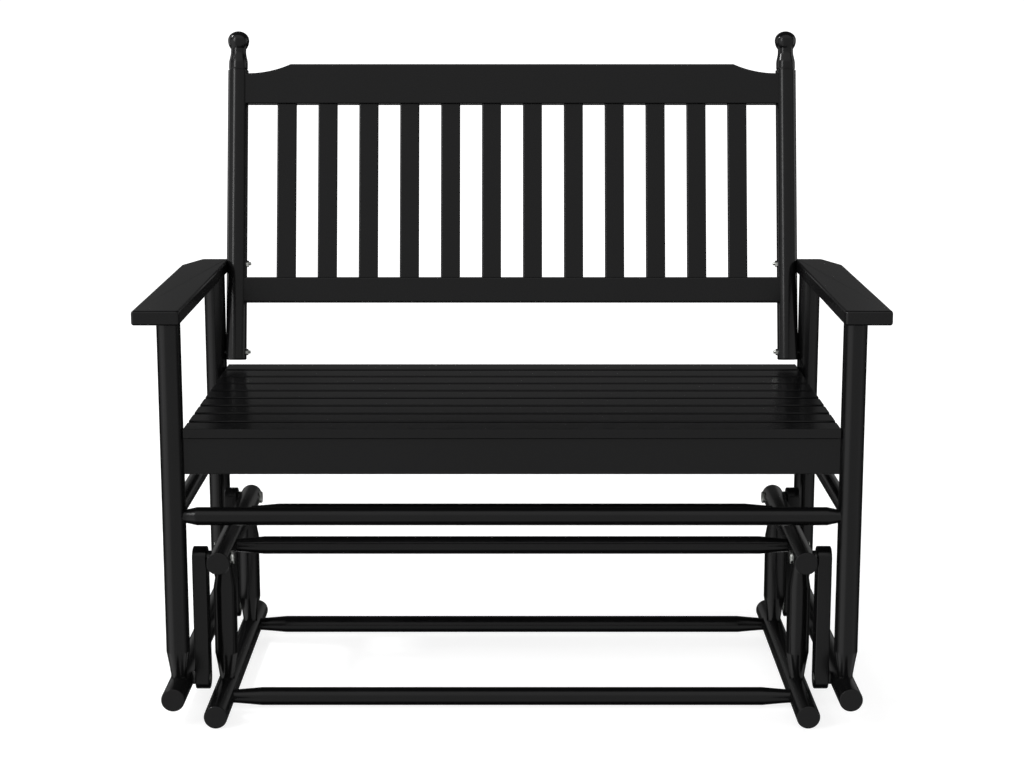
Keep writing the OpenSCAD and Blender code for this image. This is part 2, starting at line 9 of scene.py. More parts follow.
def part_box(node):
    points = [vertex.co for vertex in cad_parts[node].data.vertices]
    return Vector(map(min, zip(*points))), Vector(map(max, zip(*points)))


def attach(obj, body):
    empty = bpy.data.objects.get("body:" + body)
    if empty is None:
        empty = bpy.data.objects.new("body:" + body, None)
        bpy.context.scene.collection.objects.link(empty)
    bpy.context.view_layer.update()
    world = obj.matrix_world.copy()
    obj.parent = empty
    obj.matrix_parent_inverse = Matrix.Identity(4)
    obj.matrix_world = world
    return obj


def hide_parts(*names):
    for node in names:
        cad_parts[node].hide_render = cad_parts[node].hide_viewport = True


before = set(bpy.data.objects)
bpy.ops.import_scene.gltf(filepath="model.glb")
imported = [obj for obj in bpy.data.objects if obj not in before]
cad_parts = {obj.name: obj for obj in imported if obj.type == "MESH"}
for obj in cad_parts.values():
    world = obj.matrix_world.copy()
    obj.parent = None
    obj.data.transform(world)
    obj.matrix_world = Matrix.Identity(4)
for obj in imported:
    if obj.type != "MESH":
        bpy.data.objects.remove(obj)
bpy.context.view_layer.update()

sides = ["left", "right"]
ends = ["front", "rear"]


# Colours and nodes

def linear(hexColour):  # an sRGB hex colour in the linear values that the shader takes
    parts = [int(hexColour[i:i + 2], 16) / 255 for i in (1, 3, 5)]
    return tuple(c / 12.92 if c <= 0.04045 else ((c + 0.055) / 1.055) ** 2.4 for c in parts) + (1.0,)


def addNode(tree, kind, values=None, links=None, **options):
    node = tree.nodes.new(kind)
    for option, value in options.items():
        setattr(node, option, value)
    for socket, value in (values or {}).items():
        node.inputs[socket].default_value = value
    for socket, (source, output) in (links or {}).items():
        tree.links.new(source.outputs[output], node.inputs[socket])
    return node


def newMaterial(name):
    material = bpy.data.materials.new(name)
    material.use_nodes = True
    material.node_tree.nodes.clear()
    return material, material.node_tree


paint = {
    "deep": "#0a0a0a",  # where the film is thickest
    "thin": "#0e0e0f",  # where it is sprayed thinner
    "ior": 1.5,
    "gloss": 0.17,  # specular level
    "roughness": (0.17, 0.24),
    "cloud": 0.16,  # metres across one thick or thin patch
    "grain": 0.0035,  # the pores lie about 1 mm apart, drawn coarser so that they show
    "grainLength": 0.11,
    "grainBump": (0.10, 0.0003),  # strength and depth
    "peel": 0.0022,  # spray texture, really about 1 mm, drawn coarser so that it shows
    "peelBump": (0.05, 0.0002),
}


# Poplar under satin black spray paint: an even, slightly cloudy black,
# whose wood grain only just shows in the gloss
def satinBlackPaint(name, grainAxis):
    material, tree = newMaterial(name)
    place = addNode(tree, "ShaderNodeTexCoord")
    stretch = [1 / paint["grain"]] * 3
    stretch[grainAxis] = 1 / paint["grainLength"]
    along = addNode(tree, "ShaderNodeMapping", {"Scale": stretch}, {"Vector": (place, "Object")})
    cloud = addNode(tree, "ShaderNodeTexNoise", {"Scale": 1 / paint["cloud"], "Detail": 2.0},
                    {"Vector": (place, "Object")})
    grain = addNode(tree, "ShaderNodeTexNoise", {"Scale": 1.0, "Detail": 3.0, "Roughness": 0.6},
                    {"Vector": (along, "Vector")})
    peel = addNode(tree, "ShaderNodeTexNoise", {"Scale": 1 / paint["peel"], "Detail": 1.0},
                   {"Vector": (place, "Object")})
    colour = addNode(tree, "ShaderNodeMix", {"A": linear(paint["deep"]), "B": linear(paint["thin"])},
                     {"Factor": (cloud, "Fac")}, data_type="RGBA")
    smooth, dull = paint["roughness"]
    gloss = addNode(tree, "ShaderNodeMapRange", {"To Min": smooth, "To Max": dull}, {"Value": (grain, "Fac")})
    strength, depth = paint["grainBump"]
    grainBump = addNode(tree, "ShaderNodeBump", {"Strength": strength, "Distance": depth},
                        {"Height": (grain, "Fac")})
    strength, depth = paint["peelBump"]
    peelBump = addNode(tree, "ShaderNodeBump", {"Strength": strength, "Distance": depth},
                       {"Height": (peel, "Fac"), "Normal": (grainBump, "Normal")})
    shader = addNode(tree, "ShaderNodeBsdfPrincipled",
                     {"IOR": paint["ior"], "Specular IOR Level": paint["gloss"]},
                     {"Base Color": (colour, "Result"), "Roughness": (gloss, "Result"),
                      "Normal": (peelBump, "Normal")})
    addNode(tree, "ShaderNodeOutputMaterial", links={"Surface": (shader, "BSDF")})
    return material


zinc = {
    "dull": "#a9aca9",
    "bright": "#c9cac5",
    "roughness": (0.24, 0.4),
    "blotch": 1 / 260,  # metres across one, about 4 mm
}


# Steel with bright zinc plating: pale, slightly blotched metal with a soft shine
def brightZincPlate():
    material, tree = newMaterial("brightZincPlatedSteel")
    place = addNode(tree, "ShaderNodeTexCoord")
    blotch = addNode(tree, "ShaderNodeTexNoise", {"Scale": 1 / zinc["blotch"], "Detail": 3.0},
                     {"Vector": (place, "Object")})
    colour = addNode(tree, "ShaderNodeMix", {"A": linear(zinc["dull"]), "B": linear(zinc["bright"])},
                     {"Factor": (blotch, "Fac")}, data_type="RGBA")
    smooth, dull = zinc["roughness"]
    gloss = addNode(tree, "ShaderNodeMapRange", {"To Min": smooth, "To Max": dull},
                    {"Value": (blotch, "Fac")})
    shader = addNode(tree, "ShaderNodeBsdfPrincipled", {"Metallic": 1.0},
                     {"Base Color": (colour, "Result"), "Roughness": (gloss, "Result")})
    addNode(tree, "ShaderNodeOutputMaterial", links={"Surface": (shader, "BSDF")})
    return material


nylon = {
    "deep": "#151515",
    "pale": "#1c1c1c",
    "ior": 1.53,
    "roughness": 0.5,
    "skin": 1 / 900,  # the mould's fine texture, drawn about 1 mm coarse so that it shows
    "skinBump": (0.15, 0.0001),  # strength and depth
}


# Black nylon, injection moulded: dark and dull with a fine even skin
def mouldedNylon():
    material, tree = newMaterial("blackMouldedNylon")
    place = addNode(tree, "ShaderNodeTexCoord")
    skin = addNode(tree, "ShaderNodeTexNoise", {"Scale": 1 / nylon["skin"], "Detail": 2.0},
                   {"Vector": (place, "Object")})
    colour = addNode(tree, "ShaderNodeMix", {"A": linear(nylon["deep"]), "B": linear(nylon["pale"])},
                     {"Factor": (skin, "Fac")}, data_type="RGBA")
    strength, depth = nylon["skinBump"]
    bump = addNode(tree, "ShaderNodeBump", {"Strength": strength, "Distance": depth},
                   {"Height": (skin, "Fac")})
    shader = addNode(tree, "ShaderNodeBsdfPrincipled", {"Roughness": nylon["roughness"], "IOR": nylon["ior"]},
                     {"Base Color": (colour, "Result"), "Normal": (bump, "Normal")})
    addNode(tree, "ShaderNodeOutputMaterial", links={"Surface": (shader, "BSDF")})
    return material


paintAlong = [satinBlackPaint("satinBlackPaint" + letter, i) for i, letter in enumerate("XYZ")]
zincPlate = brightZincPlate()
nylonSkin = mouldedNylon()
print("materials made")


# Shapes

finish = {
    "merge": 0.000001,  # points closer than this are one
    "level": 0.0000001,  # an edge that runs less than this along an axis lies square to it
    "near": 0.00001,  # an edge this close to a corner belongs to it
    "crease": 32,  # degrees, above which an edge stays sharp
    "hold": 0.0006,  # how close to a turned corner its extra ring lies
    "smallHold": 0.0002,  # the same on hardware
    "boardEnd": 0.0008,  # rounding of a board's ends
    "drill": 0.03,  # a cutter's length, more than any pocket's depth
    "drillSides": 48,
}
fromZ = [Matrix.Rotation(math.pi / 2, 4, "Y"), Matrix.Rotation(-math.pi / 2, 4, "X"), Matrix.Identity(4)]


def boxMiddle(node):
    low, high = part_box(node)
    return (low + high) / 2


def mirrorFor(side):  # pieces are shaped for the right side
    return Matrix.Scale(-1 if side == "left" else 1, 4, (1, 0, 0))


def facingX(x, y, z, way):  # turns a shape from +Z to +X or -X, with its origin at the point
    return Matrix.Translation((x, y, z)) @ Matrix.Rotation(way * math.pi / 2, 4, "Y")


def pieceName(node):
    words = node.split("_")
    return words[0] + "".join(word.capitalize() for word in words[1:])


def fractions(steps):  # even steps from 0 to 1
    return [i / steps for i in range(steps + 1)]


def rounding(r, z, radius, fromAngle, toAngle, steps=5):  # points of an arc in a profile
    angles = [math.radians(fromAngle + (toAngle - fromAngle) * t) for t in fractions(steps)]
    return [(r + radius * math.cos(a), z + radius * math.sin(a)) for a in angles]


def turned(profile, segments=72, hold=finish["hold"]):  # a lathe shape about Z from (radius, height) pairs
    rings = [profile[0]]
    for (r0, z0), (r1, z1) in zip(profile, profile[1:]):
        length = math.hypot(r1 - r0, z1 - z0)
        if length > 6 * hold:  # rings beside each corner keep the long faces' shading straight
            t = hold / length
            rings += [(r0 + (r1 - r0) * t, z0 + (z1 - z0) * t), (r1 + (r0 - r1) * t, z1 + (z0 - z1) * t)]
        rings.append((r1, z1))
    bm = bmesh.new()
    points = [bm.verts.new((r, 0, z)) for r, z in rings]
    lines = [bm.edges.new(pair) for pair in zip(points, points[1:])]
    bmesh.ops.spin(bm, geom=points + lines, cent=(0, 0, 0), axis=(0, 0, 1), angle=2 * math.pi,
                   steps=segments, use_merge=True)
    bmesh.ops.remove_doubles(bm, verts=bm.verts, dist=finish["merge"])
    bmesh.ops.recalc_face_normals(bm, faces=bm.faces)
    return bm


def prism(corners, radius, length, matrix):  # from the origin along Z, then placed
    bm = bmesh.new()
    bmesh.ops.create_cone(bm, cap_ends=True, segments=corners, radius1=radius, radius2=radius, depth=length,
                          matrix=matrix @ Matrix.Translation((0, 0, length / 2)))
    bmesh.ops.recalc_face_normals(bm, faces=bm.faces)
    return bm


def drill(radius, matrix, length=finish["drill"]):
    return prism(finish["drillSides"], radius, length, matrix)


def move(bm, matrix):
    bmesh.ops.transform(bm, matrix=matrix, verts=bm.verts)
    return bm


def asMesh(bm, name):
    mesh = bpy.data.meshes.new(name)
    bm.to_mesh(mesh)
    bm.free()
    return mesh


def addMesh(bm, mesh):  # moves a mesh's faces into the shape
    bm.from_mesh(mesh)
    bpy.data.meshes.remove(mesh)
    return bm


def joinInto(whole, part, matrix=Matrix.Identity(4)):
    addMesh(whole, asMesh(move(part, matrix), "part"))


def extrude(bm, vector):  # pulls a flat shape out into a board
    grown = bmesh.ops.extrude_face_region(bm, geom=bm.faces[:])
    verts = [v for v in grown["geom"] if isinstance(v, bmesh.types.BMVert)]
    bmesh.ops.translate(bm, vec=vector, verts=verts)


def reach(edge, axis):  # how far an edge runs along an axis
    return abs((edge.verts[0].co - edge.verts[1].co)[axis])


def soften(bm, edges, radius, segments=4):
    bmesh.ops.bevel(bm, geom=edges, offset=radius, segments=segments, profile=0.5, affect="EDGES",
                    material=-1)


def softenRims(bm, axis, radius, segments=4):  # the edges that lie square to the axis
    soften(bm, [e for e in bm.edges if reach(e, axis) < finish["level"]], radius, segments)


def block(low, high, radius, longAxis):  # a board with its long edges rounded
    bm = bmesh.new()
    bmesh.ops.create_cube(bm, size=1.0)
    size = high - low
    move(bm, Matrix.Translation((low + high) / 2) @ Matrix.Diagonal((*size, 1)))
    soften(bm, [e for e in bm.edges if reach(e, longAxis) > size[longAxis] / 2], radius)
    softenRims(bm, longAxis, finish["boardEnd"], segments=2)
    return bm


def cutAway(bm, cutters):  # takes the cutters' shapes out of the first shape
    helpers = [bpy.data.objects.new("helper", asMesh(shape, "helper")) for shape in [bm, *cutters]]
    for helper in helpers:
        bpy.context.scene.collection.objects.link(helper)
    body = helpers[0]
    for helper in helpers[1:]:
        modifier = body.modifiers.new("cut", "BOOLEAN")
        modifier.operation, modifier.solver, modifier.object = "DIFFERENCE", "EXACT", helper
    result = bpy.data.meshes.new_from_object(body.evaluated_get(bpy.context.evaluated_depsgraph_get()))
    for helper in helpers:
        bpy.data.meshes.remove(helper.data)  # takes its object along
    return addMesh(bmesh.new(), result)


def finishPiece(name, bm, material, body, nodes, slot="black_wood", flats=False):
    bmesh.ops.remove_doubles(bm, verts=bm.verts, dist=finish["merge"])
    bm.normal_update()
    bmesh.ops.recalc_face_normals(bm, faces=bm.faces)
    for face in bm.faces:
        face.smooth = True
    for edge in bm.edges:
        edge.smooth = len(edge.link_faces) == 2 and edge.calc_face_angle() < math.radians(finish["crease"])
    mesh = asMesh(bm, name)
    mesh.materials.append(material)
    piece = bpy.data.objects.new(name, mesh)
    bpy.context.scene.collection.objects.link(piece)
    if flats:  # the broad faces stay flat in the shading, and only the rounded edges turn
        weigh = piece.modifiers.new("flatFaces", "WEIGHTED_NORMAL")
        weigh.keep_sharp = True
        weigh.weight = 100
    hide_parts(*nodes)
    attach(piece, body)


def finishNode(node, bm, material, body, cutters=(), **options):  # a piece that replaces one node
    if cutters:
        bm = cutAway(bm, cutters)
    finishPiece(pieceName(node), bm, material, body, [node], **options)


# Legs, base posts and stretchers, all turned with tapered ends

spindles = {
    "upright": {"endDiameter": 0.0236, "taper": 0.040, "tenon": 0.0112},  # legs and base posts
    "seatStretcher": {"endDiameter": 0.021, "taper": 0.017, "tenon": 0.0068},
    "baseStretcher": {"endDiameter": 0.021, "taper": 0.042, "tenon": 0.0068},
    "bulge": 1.15,  # 1 would taper them straight
    "pinDiameter": 0.020,  # on a leg's top, in the armrest
    "pin": 0.012,
}


def spindleFoot(radius, kind):  # from the middle of the tenon's end up to the full radius
    size = spindles[kind]
    endRadius = size["endDiameter"] / 2
    taper = [(endRadius + (radius - endRadius) * t ** spindles["bulge"], size["tenon"] + size["taper"] * t)
             for t in fractions(6)]
    return [(0, 0), (endRadius, 0)] + taper


def makeSpindle(node, body, axis, kind):
    low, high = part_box(node)
    size = high - low
    start = (low + high) / 2
    start[axis] = low[axis]
    half = spindleFoot(size[(axis + 1) % 3] / 2, kind)
    bm = turned(half + [(r, size[axis] - z) for r, z in reversed(half)])
    finishNode(node, move(bm, Matrix.Translation(start) @ fromZ[axis]), paintAlong[axis], body)


def makeLeg(node):
    low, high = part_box(node)
    size, middle = high - low, (low + high) / 2
    radius, pinRadius = size.x / 2, spindles["pinDiameter"] / 2
    shoulder = size.z - spindles["pin"]
    profile = spindleFoot(radius, "upright")
    profile += [(radius, shoulder), (pinRadius, shoulder), (pinRadius, size.z), (0, size.z)]
    bm = move(turned(profile), Matrix.Translation((middle.x, middle.y, low.z)))
    finishNode(node, bm, paintAlong[2], "seat_frame")


for side in sides:
    for end in ends:
        makeLeg(f"leg_{end}_{side}")
        makeSpindle(f"base_post_{end}_{side}", "base", 2, "upright")
    makeSpindle(f"side_stretcher_{side}", "seat_frame", 1, "seatStretcher")
for end in ends:
    makeSpindle(f"seat_stretcher_{end}", "seat_frame", 0, "seatStretcher")
    for level in ("lower", "upper"):
        makeSpindle(f"{level}_stretcher_{end}", "base", 0, "baseStretcher")
print("legs, posts and stretchers made")


# Runners, hanger rails and swinging rails, with their seats for bolt heads and bushes

rails = {
    "endRounding": 0.002,
    "slack": 0.00001,  # keeps a rail inside its node's box
    "headSeat": 0.0101,  # radius of the flats and pockets
    "flatDepth": 0.00303,
    "pocketDepth": 0.0057,
    "linkEnd": 0.017,  # from a link's end to its pivot
}


def pivotPoint(end, upper):  # on the right side
    low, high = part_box(f"link_{end}_right")
    z = high.z - rails["linkEnd"] if upper else low.z + rails["linkEnd"]
    return Vector(((low.x + high.x) / 2, (low.y + high.y) / 2, z))


def boltSeats(middle, radius, side, headSide):  # at both ends, for the bolt's head and for the link's bush
    headDepth = rails["pocketDepth"] if headSide > 0 else rails["flatDepth"]
    cutters = []
    for end in ends:
        y = pivotPoint(end, True).y
        for way, depth in ((headSide, headDepth), (-headSide, rails["flatDepth"])):
            x = abs(middle.x) + way * (radius - depth)
            cutters.append(drill(rails["headSeat"], mirrorFor(side) @ facingX(x, y, middle.z, way)))
    return cutters


def makeRail(node, body, side, headSide=0):  # where the bolts' heads are: 1 outside, -1 inside
    low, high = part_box(node)
    size, middle = high - low, (low + high) / 2
    radius, soft = min(size.x, size.z) / 2 - rails["slack"], rails["endRounding"]
    profile = [(0, 0)] + rounding(radius - soft, soft, soft, -90, 0)
    profile += rounding(radius - soft, size.y - soft, soft, 0, 90) + [(0, size.y)]
    place = Matrix.Translation((middle.x, low.y, middle.z)) @ fromZ[1]
    cutters = boltSeats(middle, radius, side, headSide) if headSide else []
    finishNode(node, move(turned(profile, segments=96), place), paintAlong[1], body, cutters)


for side in sides:
    makeRail(f"runner_{side}", "base", side)
    makeRail(f"hanger_rail_{side}", "base", side, -1)
    makeRail(f"swing_rail_{side}", "seat_frame", side, 1)
print("rails made")


# Links with their bushes

links = {
    "segments": 48,
    "edge": 0.0018,
    "bore": 0.00605,
    "nutPocket": 0.0095,
    "pocketDepth": 0.0052,
    "pocketCut": 0.02,  # the cutter's length
    "bushOuter": 0.006,
    "bushInner": 0.00415,
    "flange": 0.010,
    "flangeEdge": 0.0004,
    "flangeThickness": 0.00603,
}


def pocketSides(side):  # upper or not, and on which side of the link the nut's pocket lies
    outward = 1 if side == "right" else -1
    return (False, -outward), (True, outward)


def makeLink(end, side):
    node = f"link_{end}_{side}"
    low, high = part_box(node)
    middle = (low + high) / 2
    width, thickness = high.y - low.y, high.x - low.x
    rise = high.z - low.z - width
    bm = bmesh.new()
    turn = Matrix.Rotation(math.pi / 2, 4, "Y") @ Matrix.Rotation(math.pi / links["segments"], 4, "Z")
    bmesh.ops.create_circle(bm, cap_ends=True, radius=width / 2, segments=links["segments"],
                            matrix=Matrix.Translation((low.x, middle.y, low.z + width / 2)) @ turn)
    for vertex in bm.verts:
        if vertex.co.z > low.z + width / 2:
            vertex.co.z += rise
    extrude(bm, (thickness, 0, 0))
    softenRims(bm, 0, links["edge"])
    cutters = []
    for upper, way in pocketSides(side):
        z = pivotPoint(end, upper).z
        pocketX = middle.x + way * (thickness / 2 - links["pocketDepth"])
        cutters.append(drill(links["nutPocket"], facingX(pocketX, middle.y, z, way), links["pocketCut"]))
        through = facingX(middle.x - way * finish["drill"], middle.y, z, way)
        cutters.append(drill(links["bore"], through, 2 * finish["drill"]))
    finishNode(node, bm, paintAlong[2], f"link_{end}_{side}", cutters, flats=True)


def makeBushes(end, side):
    low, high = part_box(f"link_{end}_{side}")
    thickness, middle = high.x - low.x, (low + high) / 2
    sleeve = thickness - links["pocketDepth"]
    total = sleeve + links["flangeThickness"]
    inner, outer, soft = links["bushInner"], links["bushOuter"], links["flangeEdge"]
    rim = links["flange"] - soft
    profile = [(inner, 0), (outer, 0), (outer, sleeve), (rim, sleeve)]
    profile += rounding(rim, sleeve + soft, soft, -90, 0, steps=2)
    profile += rounding(rim, total - soft, soft, 0, 90, steps=2) + [(inner, total), (inner, 0)]
    whole = bmesh.new()
    for upper, pocketSide in pocketSides(side):
        way = -pocketSide  # the flange faces the rail
        start = middle.x - way * (thickness / 2 - links["pocketDepth"])
        bush = turned(profile, segments=40, hold=finish["smallHold"])
        joinInto(whole, bush, facingX(start, middle.y, pivotPoint(end, upper).z, way))
    finishNode(f"link_bushes_{end}_{side}", whole, nylonSkin, f"link_{end}_{side}", slot="nylon")


for side in sides:
    for end in ends:
        makeLink(end, side)
        makeBushes(end, side)
print("links made")


# Bolts, nuts and studs

bolts = {
    "shank": 0.004,
    "head": 0.010,
    "headThickness": 0.0055,
    "headEdge": 0.001,
    "seatEdge": 0.0003,
    "tipEdge": 0.0006,
    "socket": 0.006,  # across the flats
    "socketDepth": 0.0033,
    "nutSpace": 0.00005,  # round the shank or stud
    "linkNut": 0.0085,
    "linkNutThickness": 0.005,
    "linkNutEdge": 0.0005,
    "stud": 0.003,
    "thread": 0.0004,  # depth of the threads
    "threadPitch": 0.001,
    "threadStart": 0.0003,
    "threadedLength": 0.012,
    "studNut": 0.010,  # across the flats
    "studNutThickness": 0.004,
    "studTip": 0.004,
    "flatSpace": 0.0002,  # round a stud's nut, on the flat of the post
    "cornerCut": {"below": 0.0005, "inset": 0.0002, "reach": 1.3, "rise": 0.2437},  # see hexNut
    "cap": 0.0055,
    "capHeight": 0.0036,
    "capRim": 0.0008,  # its upright edge
    "capSunk": 0.001,  # how much of it lies in the rail
}


def hexagonRadius(flats):  # from the width across the flats to a corner's distance
    return flats / 2 / math.cos(math.pi / 6)


def boltShape(length):  # along Z, its head's seat at the origin
    head, shank, edge = bolts["head"], bolts["shank"], bolts["headEdge"]
    profile = [(0, -bolts["headThickness"])]
    profile += rounding(head - edge, edge - bolts["headThickness"], edge, -90, 0, steps=4)
    profile += [(head, -bolts["seatEdge"]), (head - bolts["seatEdge"], 0), (shank, 0)]
    profile += [(shank, length - bolts["tipEdge"]), (shank - bolts["tipEdge"], length), (0, length)]
    socketStart = Matrix.Translation((0, 0, -bolts["headThickness"] - bolts["socketDepth"]))
    socket = prism(6, hexagonRadius(bolts["socket"]), 2 * bolts["socketDepth"], socketStart)
    return cutAway(turned(profile, segments=48, hold=finish["smallHold"]), [socket])


def roundNut():  # flat, from the origin up
    inner, outer = bolts["shank"] + bolts["nutSpace"], bolts["linkNut"]
    thickness, soft = bolts["linkNutThickness"], bolts["linkNutEdge"]
    profile = [(inner, 0), (outer - soft, 0), (outer, soft), (outer, thickness - soft)]
    profile += [(outer - soft, thickness), (inner, thickness), (inner, 0)]
    return turned(profile, segments=48, hold=finish["smallHold"])


def makePivotBolts(node, body, upper):
    whole = bmesh.new()
    linkLow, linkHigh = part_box("link_front_right")
    if upper:  # the heads bear on the hanger rails' inner sides
        seat, tip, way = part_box("hanger_rail_right")[0].x + rails["flatDepth"], linkHigh.x, 1
    else:  # the heads lie in the swinging rails' outer pockets
        seat, tip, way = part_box("swing_rail_right")[1].x - rails["pocketDepth"], linkLow.x, -1
    length = abs(tip - seat)
    for side in sides:
        for end in ends:
            pivot = pivotPoint(end, upper)
            aim = mirrorFor(side) @ facingX(seat, pivot.y, pivot.z, way)
            joinInto(whole, boltShape(length), aim)
            nutAt = Matrix.Translation((0, 0, length - bolts["linkNutThickness"]))
            joinInto(whole, roundNut(), aim @ nutAt)
    finishNode(node, whole, zincPlate, body, slot="zinc_steel")


backFrame = {
    "lean": math.radians(13.0),  # from upright
    "footY": boxMiddle("leg_rear_right").y - 0.009,
    "footZ": 0.4685,
    "postX": boxMiddle("back_post_right").x,
    "postRadius": 0.01775,  # the ball is a little wider, so the node's box gives the ball
    "studs": (0.0130, 0.1630),  # above the foot of the post
}
postX, postRadius = backFrame["postX"], backFrame["postRadius"]
onBack = (Matrix.Translation((0, backFrame["footY"], backFrame["footZ"]))
          @ Matrix.Rotation(-backFrame["lean"], 4, "X"))
nutFlat = hexagonRadius(bolts["studNut"]) + bolts["flatSpace"]  # radius of the flat under a nut
nutSeatX = postX - math.sqrt(postRadius ** 2 - nutFlat ** 2)


def studPoint(level):  # on the post's middle line
    y = backFrame["footY"] + level * math.tan(backFrame["lean"])
    return Vector((postX, y, backFrame["footZ"] + level))


def threadedRod(radius, length):  # a stud's threaded end along Z, down to where its black stretch begins, which is painted shade
    root, pitch = radius - bolts["thread"], bolts["threadPitch"]
    count = int(bolts["threadedLength"] / pitch)
    profile = [(0, 0), (root, 0)]
    for i in range(count):
        z = bolts["threadStart"] + i * pitch
        profile += [(root, z), (radius, z + pitch / 2)]
    profile += [(radius, (count + 1) * pitch), (radius, length), (0, length)]
    return turned(profile, segments=32, hold=finish["smallHold"])


def hexNut():  # a sloping ring turns off the corners at its foot
    flats, thickness, cut = bolts["studNut"], bolts["studNutThickness"], bolts["cornerCut"]
    corner = hexagonRadius(flats)
    nut = prism(6, corner, thickness, Matrix.Rotation(math.pi / 6, 4, "Z"))
    hole = drill(bolts["stud"] + bolts["nutSpace"], Matrix.Translation((0, 0, -thickness)), thickness * 3)
    start, wide = (flats / 2 - cut["inset"], -cut["below"]), corner * cut["reach"]
    ring = turned([start, (wide, -cut["below"]), (wide, corner * cut["rise"]), start], segments=48,
                  hold=finish["smallHold"])
    return cutAway(nut, [hole, ring])


def makeStuds():
    whole, shadeBlackRods = bmesh.new(), bmesh.new()
    nutX = nutSeatX - bolts["studNutThickness"]
    tipX = nutX - bolts["studTip"]
    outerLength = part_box("post_studs")[1].x - postX
    for side in sides:
        for level in backFrame["studs"]:
            at = studPoint(level)
            tipAt, nutAt, postAt = (mirrorFor(side) @ facingX(x, at.y, at.z, 1) for x in (tipX, nutX, postX))
            joinInto(whole, threadedRod(bolts["stud"], postX - tipX), tipAt)
            joinInto(whole, hexNut(), nutAt)
            # the rod's stretch from the post's middle outwards is drawn in the black paint: painted shade, so
            # that the bare rod stays as dark as the shaded gap between post and leg
            profile = [(0, 0), (bolts["stud"], 0), (bolts["stud"], outerLength), (0, outerLength)]
            joinInto(shadeBlackRods, turned(profile, segments=32), postAt)
    finishPiece("studRods", shadeBlackRods, paintAlong[0], "seat_frame", ["post_studs"])
    finishNode("post_studs", whole, zincPlate, "seat_frame", slot="zinc_steel")


def makeCaps():  # domed bolt heads on the hanger rails' outer sides, where the upper stretchers end
    dome = bolts["capHeight"] - bolts["capSunk"] - bolts["capRim"]
    profile = [(0, -bolts["capSunk"]), (bolts["cap"], -bolts["capSunk"]), (bolts["cap"], bolts["capRim"])]
    for t in fractions(8)[1:-1]:
        a = math.pi / 2 * t
        profile.append((bolts["cap"] * math.cos(a), bolts["capRim"] + dome * math.sin(a)))
    profile.append((0, bolts["capRim"] + dome))
    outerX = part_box("hanger_rail_right")[1].x
    whole = bmesh.new()
    for side in sides:
        for end in ends:
            at = boxMiddle(f"upper_stretcher_{end}")
            cap = turned(profile, segments=40, hold=finish["smallHold"])
            joinInto(whole, cap, mirrorFor(side) @ facingX(outerX, at.y, at.z, 1))
    finishPiece("stretcherCaps", whole, zincPlate, "base", [], slot="zinc_steel")


makePivotBolts("hanger_bolts", "base", True)
makePivotBolts("swing_bolts", "seat_frame", False)
makeStuds()
makeCaps()
print("bolts, nuts and studs made")


# Seat: slats, aprons and bearers

seat = {
    "slatWidth": 0.045,
    "slatPitch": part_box("seat_slats_middle")[0].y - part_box("seat_slat_front")[0].y,
    "slatEdge": 0.0016,
    "apronEdge": 0.002,
    "bearerEdge": 0.001,
}


def makeSlats(node):
    low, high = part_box(node)
    whole = bmesh.new()
    for i in range(round((high.y - low.y - seat["slatWidth"]) / seat["slatPitch"]) + 1):
        near = Vector((low.x, low.y + i * seat["slatPitch"], low.z))
        far = Vector((high.x, near.y + seat["slatWidth"], high.z))
        joinInto(whole, block(near, far, seat["slatEdge"], 0))
    finishNode(node, whole, paintAlong[0], "seat_frame", flats=True)


def makeBoard(node, longAxis, radius):
    low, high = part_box(node)
    finishNode(node, block(low, high, radius, longAxis), paintAlong[longAxis], "seat_frame", flats=True)


for node in ("seat_slat_front", "seat_slats_middle", "seat_slat_rear"):
    makeSlats(node)
for end in ends:
    makeBoard(f"apron_{end}", 0, seat["apronEdge"])
for place in ("left", "middle", "right"):
    makeBoard(f"bearer_{place}", 1, seat["bearerEdge"])
print("seat made")


# Back: posts with finials, rails and slats

back = {
    "postLength": 0.5085,
    "footRounding": 0.002,
    "grooveWidth": 0.0036,
    "grooveDepth": 0.002,
    "finialStep": 0.0013,
    "finialFoot": 0.0103,
    "finialLength": 0.0515,
    "neckRadius": 0.0134,
    "neckLength": 0.0056,
    "ballRadius": 0.01858,
    "ballUp": 0.016,
    "ballLow": 0.015,
    "postHold": 0.0004,  # rings beside the post's corners
    "lowRailAt": 0.099588,
    "lowRailHeight": 0.044,
    "crestAt": 0.447,
    "crestEnd": 0.054,
    "crestHeight": 0.070,
    "crestCurve": 0.181,
    "railThickness": 0.022,
    "slatThickness": 0.012,
    "tenon": 0.0068,
    "edge": 0.003,
}
railHalf = postX - postRadius + back["tenon"]


def finialProfile(top):  # from the foot's radius through the neck to the ball's top
    foot, neck, ball = postRadius - back["finialStep"], back["neckRadius"], back["ballRadius"]
    ballAt = top + back["finialLength"]
    curveLength = back["finialLength"] - back["finialFoot"] - back["neckLength"] - back["ballLow"]
    neckTurn = math.acos(neck / ball)
    lowReach = back["ballLow"] / math.sin(neckTurn)
    profile = []
    for t in fractions(16):
        r = foot + (neck - foot) * (1 - math.cos(math.pi * t)) / 2
        profile.append((r, top + back["finialFoot"] + curveLength * t))
    for t in fractions(12):
        a = neckTurn * (t - 1)
        profile.append((ball * math.cos(a), ballAt + lowReach * math.sin(a)))
    for t in fractions(16)[1:-1]:
        a = math.pi / 2 * t
        profile.append((ball * math.cos(a), ballAt + back["ballUp"] * math.sin(a)))
    return profile + [(0, ballAt + back["ballUp"])]


def postProfile():
    top, soft, groove = back["postLength"], back["footRounding"], back["grooveWidth"]
    grooveRadius, footRadius = postRadius - back["grooveDepth"], postRadius - back["finialStep"]
    profile = [(0, 0)] + rounding(postRadius - soft, soft, soft, -90, 0)
    profile += [(postRadius, top - groove / 2), (grooveRadius, top - groove / 6),
                (grooveRadius, top + groove / 6), (footRadius, top + groove / 2)]
    return profile + finialProfile(top)


